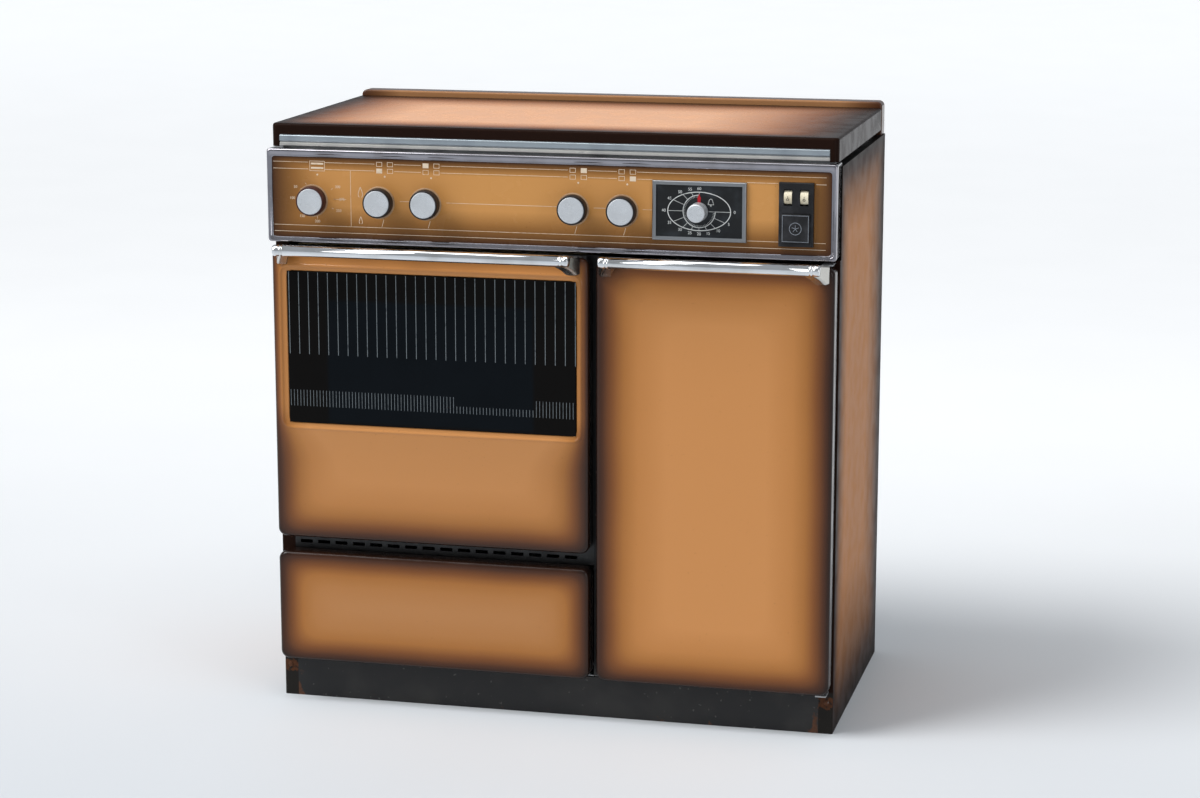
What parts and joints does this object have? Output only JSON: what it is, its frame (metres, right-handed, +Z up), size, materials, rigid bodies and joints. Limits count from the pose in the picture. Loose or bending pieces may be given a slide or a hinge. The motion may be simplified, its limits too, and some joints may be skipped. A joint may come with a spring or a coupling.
{
  "type": "gas cooker",
  "caption": "Free-standing gas cooker with a hinged lid, a drop-down oven door with a glass window, a drawer and a side compartment for a gas cylinder.",
  "frame": {"origin": "on the floor under the centre of the overall box", "axes": "+X to the right seen from the front, -Y towards the user, +Z up"},
  "size_m": [0.8, 0.504, 0.838],
  "materials": {
    "door_enamel": "glossy vitreous enamel, tan in the middle fading to dark brown at the edges",
    "side_enamel": "glossy vitreous enamel, tan fading to grey-brown at the edges",
    "lid_enamel": "glossy vitreous enamel, tan with dark brown edges",
    "black_enamel": "black enamel, slightly rusted at the ends",
    "cavity_enamel": "dark speckled oven enamel",
    "zinc_steel": "zinc coated sheet",
    "stainless": "brushed stainless steel",
    "chrome_trim": "polished chrome plate",
    "fascia_enamel": "printed enamel, gold in the middle fading to dark brown",
    "black_glass": "tinted glass with a silver printed line pattern",
    "clear_glass": "clear heat resistant glass",
    "knob_plastic": "near-black moulded plastic with a turned aluminium cap",
    "ring_plastic": "cream plastic",
    "switch_plastic": "black plastic",
    "key_plastic": "cream plastic",
    "dial_black": "black dial with white printing",
    "timer_metal": "grey metal bezel",
    "bright_aluminium": "turned aluminium",
    "burner_cap_iron": "black enamelled cast caps",
    "wire_steel": "plated wire",
    "grate_enamel": "black enamelled wire",
    "glass_wool": "glass wool blanket",
    "door_rope": "woven glass rope",
    "tap_brass": "machined brass",
    "gland_rubber": "black rubber"
  },
  "bodies": {
    "carcass": {"left_side_panel": "side_enamel", "right_side_panel": "side_enamel", "back_panel": "zinc_steel", "base_pan": "zinc_steel", "plinth": "black_enamel", "centre_partition": "black_enamel", "drawer_runners": "zinc_steel", "case_screws": "zinc_steel", "oven_liner": "cavity_enamel", "oven_insulation": "glass_wool", "front_frame": "black_enamel", "oven_door_seal": "door_rope", "shelf_runners": "wire_steel", "oven_burner": "stainless", "grill_burner": "stainless", "oven_lamp": "clear_glass", "door_hinges": "zinc_steel", "control_panel_frame": "chrome_trim", "control_fascia": "fascia_enamel", "timer_bezel": "timer_metal", "timer_clock": "dial_black", "switch_housing": "switch_plastic", "gas_manifold": "zinc_steel", "gas_taps": "tap_brass", "oven_thermostat": "zinc_steel", "hob_top": "stainless", "burner_bases": "bright_aluminium", "burner_caps": "burner_cap_iron", "pan_supports": "grate_enamel", "lid_hinge_rail": "lid_enamel", "lid_hinge_pins": "zinc_steel", "gas_inlet": "tap_brass", "cable_gland": "gland_rubber"},
    "lid": {"lid_panel": "lid_enamel", "lid_hinge_arms": "zinc_steel"},
    "oven_door": {"oven_door_panel": "door_enamel", "oven_door_glass": "black_glass", "oven_door_inner_panel": "cavity_enamel", "oven_door_inner_glass": "clear_glass", "oven_door_handle": "chrome_trim", "oven_door_handle_brackets": "chrome_trim", "oven_door_hinge_arms": "zinc_steel"},
    "cylinder_door": {"cylinder_door_panel": "door_enamel", "cylinder_door_inner_panel": "black_enamel", "cylinder_door_handle": "chrome_trim", "cylinder_door_handle_brackets": "chrome_trim", "cylinder_door_bushes": "zinc_steel"},
    "drawer": {"drawer_front": "door_enamel", "drawer_box": "zinc_steel"},
    "oven_rack": {"oven_shelf": "wire_steel"},
    "oven_knob": {"oven_knob": "knob_plastic"},
    "rear_left_knob": {"rear_left_knob": "knob_plastic"},
    "front_left_knob": {"front_left_knob": "knob_plastic"},
    "rear_right_knob": {"rear_right_knob": "knob_plastic"},
    "front_right_knob": {"front_right_knob": "knob_plastic"},
    "timer_knob": {"timer_knob": "bright_aluminium"},
    "light_key": {"light_key": "key_plastic"},
    "spit_key": {"spit_key": "key_plastic"},
    "ignition_button": {"ignition_button": "switch_plastic"}
  },
  "joints": [
    {"name": "lid_hinge", "type": "hinge", "parent": "carcass", "child": "lid", "pos_m": [0, 0.203, 0.8248], "axis": [-1, 0, 0], "range_deg": [0, 95]},
    {"name": "oven_door_hinge", "type": "hinge", "parent": "carcass", "child": "oven_door", "pos_m": [-0.1675, -0.19, 0.25], "axis": [1, 0, 0], "range_deg": [0, 90]},
    {"name": "cylinder_door_hinge", "type": "hinge", "parent": "carcass", "child": "cylinder_door", "pos_m": [0.386, -0.196, 0.361], "axis": [0, 0, 1], "range_deg": [0, 110]},
    {"name": "drawer_slide", "type": "slide", "parent": "carcass", "child": "drawer", "axis": [0, -1, 0], "range_m": [0, 0.28]},
    {"name": "oven_rack_slide", "type": "slide", "parent": "carcass", "child": "oven_rack", "axis": [0, -1, 0], "range_m": [-0.01, 0.01]},
    {"name": "oven_knob_turn", "type": "hinge", "parent": "carcass", "child": "oven_knob", "pos_m": [-0.327, -0.23, 0.7285], "axis": [0, -1, 0], "range_deg": [0, 280]},
    {"name": "rear_left_knob_turn", "type": "hinge", "parent": "carcass", "child": "rear_left_knob", "pos_m": [-0.231, -0.23, 0.7285], "axis": [0, -1, 0], "range_deg": [0, 210]},
    {"name": "front_left_knob_turn", "type": "hinge", "parent": "carcass", "child": "front_left_knob", "pos_m": [-0.1645, -0.23, 0.7285], "axis": [0, -1, 0], "range_deg": [0, 210]},
    {"name": "rear_right_knob_turn", "type": "hinge", "parent": "carcass", "child": "rear_right_knob", "pos_m": [0.043, -0.23, 0.7285], "axis": [0, -1, 0], "range_deg": [0, 210]},
    {"name": "front_right_knob_turn", "type": "hinge", "parent": "carcass", "child": "front_right_knob", "pos_m": [0.111, -0.23, 0.7285], "axis": [0, -1, 0], "range_deg": [0, 210]},
    {"name": "timer_knob_turn", "type": "hinge", "parent": "carcass", "child": "timer_knob", "pos_m": [0.213, -0.22, 0.729], "axis": [0, 1, 0], "range_deg": [0, 330]},
    {"name": "light_key_rock", "type": "hinge", "parent": "carcass", "child": "light_key", "pos_m": [0.334, -0.206, 0.752], "axis": [1, 0, 0], "range_deg": [-6, 6]},
    {"name": "spit_key_rock", "type": "hinge", "parent": "carcass", "child": "spit_key", "pos_m": [0.356, -0.206, 0.752], "axis": [1, 0, 0], "range_deg": [-6, 6]},
    {"name": "ignition_button_push", "type": "slide", "parent": "carcass", "child": "ignition_button", "axis": [0, 1, 0], "range_m": [0, 0.003], "stiffness_N_per_m": 300}
  ]
}
